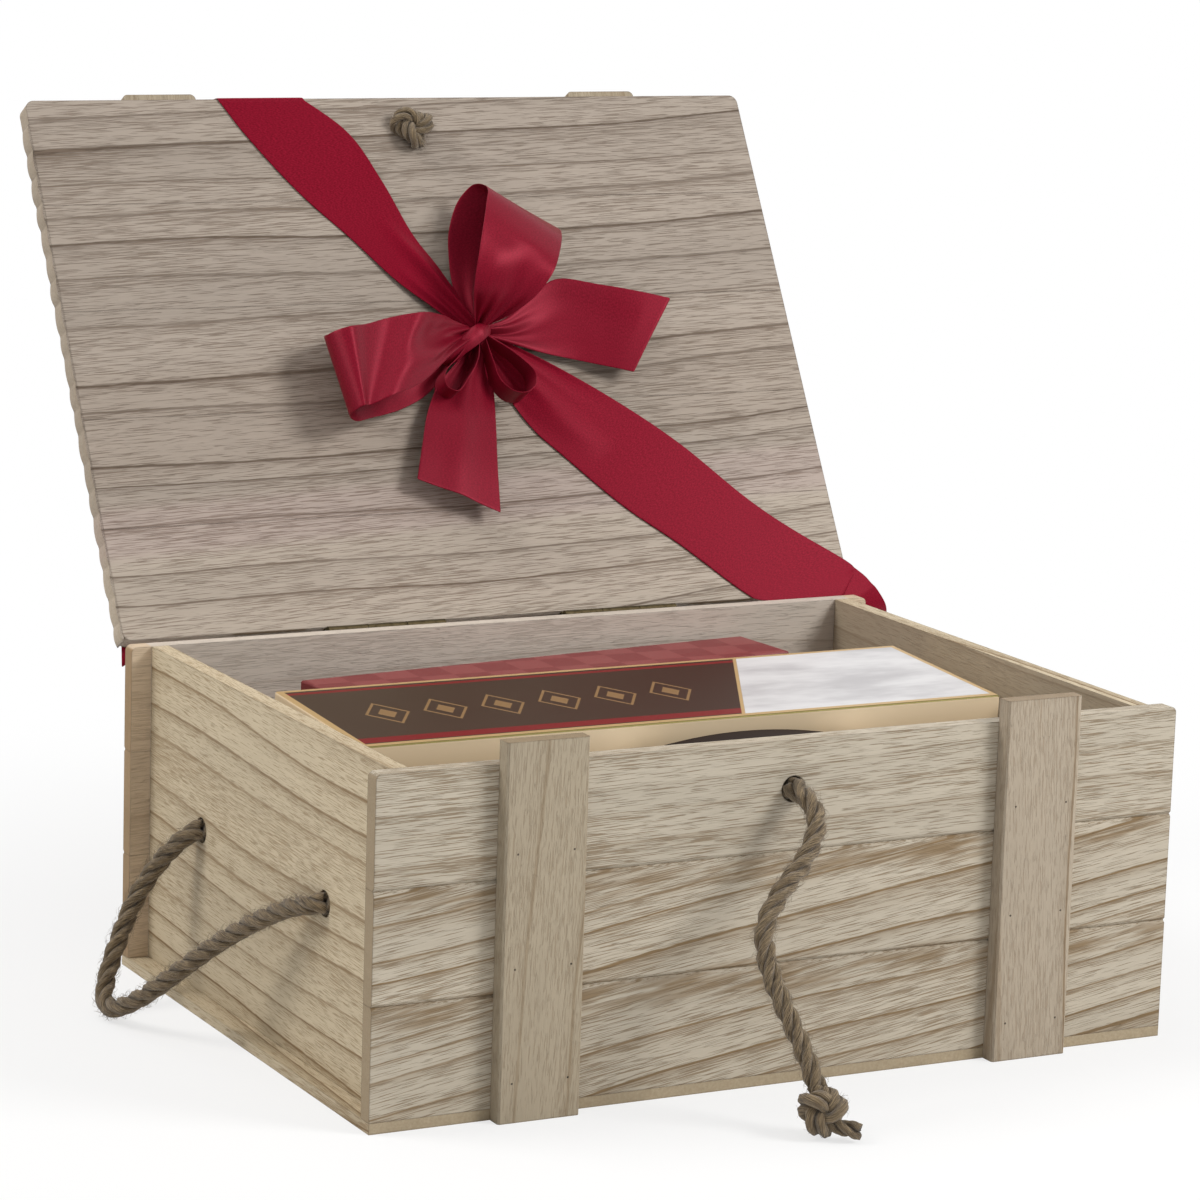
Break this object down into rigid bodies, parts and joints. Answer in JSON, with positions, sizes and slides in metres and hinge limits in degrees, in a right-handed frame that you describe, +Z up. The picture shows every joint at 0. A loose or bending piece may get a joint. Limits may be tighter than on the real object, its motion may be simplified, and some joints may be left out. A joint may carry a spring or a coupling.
{
  "type": "gift hamper",
  "caption": "Plank gift crate with a hinged lid leaning open, rope handles, rope closure, satin ribbon bow on the lid and gift cartons inside.",
  "frame": {"origin": "on the floor under the middle of the crate's bottom board", "axes": "+X along the front to the right, +Y to the back, +Z up"},
  "size_m": [0.4216, 0.4806, 0.3602],
  "materials": {
    "box_wood": "sanded, unvarnished",
    "batten_wood": "sanded, unvarnished",
    "lid_wood": "sanded, unvarnished",
    "steel": "dull",
    "brass": "dull",
    "rope": "twisted jute",
    "ribbon": "satin",
    "carton_gold": "printed card",
    "carton_red": "printed card",
    "carton_white": "printed card",
    "card": "folded card"
  },
  "bodies": {
    "box": {"back_batten_left": "batten_wood", "back_batten_right": "batten_wood", "back_nails": "steel", "back_plank_1": "box_wood", "back_plank_2": "box_wood", "back_plank_3": "box_wood", "bottom_panel": "box_wood", "card_riser": "card", "closure_knot": "rope", "closure_rope": "rope", "closure_stopper": "rope", "front_batten_left": "batten_wood", "front_batten_right": "batten_wood", "front_carton": "carton_white", "front_nails": "steel", "front_plank_1": "box_wood", "front_plank_2": "box_wood", "front_plank_3": "box_wood", "hinge_left_fixed_leaf": "brass", "hinge_left_pin": "brass", "hinge_right_fixed_leaf": "brass", "hinge_right_pin": "brass", "hinge_screws_back": "brass", "left_handle_stoppers": "rope", "left_side_panel": "box_wood", "rear_carton": "carton_red", "right_handle_stoppers": "rope", "right_side_panel": "box_wood", "top_carton": "carton_gold"},
    "lid": {"bow_left_loop": "ribbon", "bow_lower_tail": "ribbon", "bow_right_tail": "ribbon", "bow_tie": "ribbon", "bow_upper_loop": "ribbon", "hinge_left_moving_leaf": "brass", "hinge_right_moving_leaf": "brass", "hinge_screws_lid": "brass", "lid_batten_left": "lid_wood", "lid_batten_right": "lid_wood", "lid_knot": "rope", "lid_nails": "steel", "lid_plank_1": "lid_wood", "lid_plank_2": "lid_wood", "lid_plank_3": "lid_wood", "lid_plank_4": "lid_wood", "lid_plank_5": "lid_wood", "lid_rope_loop": "rope", "ribbon_back_band": "ribbon", "ribbon_corner_fold": "ribbon", "ribbon_front_band": "ribbon", "ribbon_top_fold": "ribbon"},
    "left_handle": {"left_handle": "rope"},
    "right_handle": {"right_handle": "rope"}
  },
  "joints": [
    {"name": "lid_hinge", "type": "hinge", "parent": "box", "child": "lid", "pos_m": [0, 0.13005, 0.1395], "axis": [-1, 0, 0], "range_deg": [-120, 0], "deforming": ["bow_left_loop", "bow_lower_tail", "bow_right_tail", "bow_tie", "bow_upper_loop"]},
    {"name": "left_handle_swing", "type": "hinge", "parent": "box", "child": "left_handle", "pos_m": [-0.1753, 0, 0.0735], "axis": [0, 1, 0], "range_deg": [0, 135]},
    {"name": "right_handle_swing", "type": "hinge", "parent": "box", "child": "right_handle", "pos_m": [0.1753, 0, 0.0735], "axis": [0, -1, 0], "range_deg": [0, 160]}
  ]
}
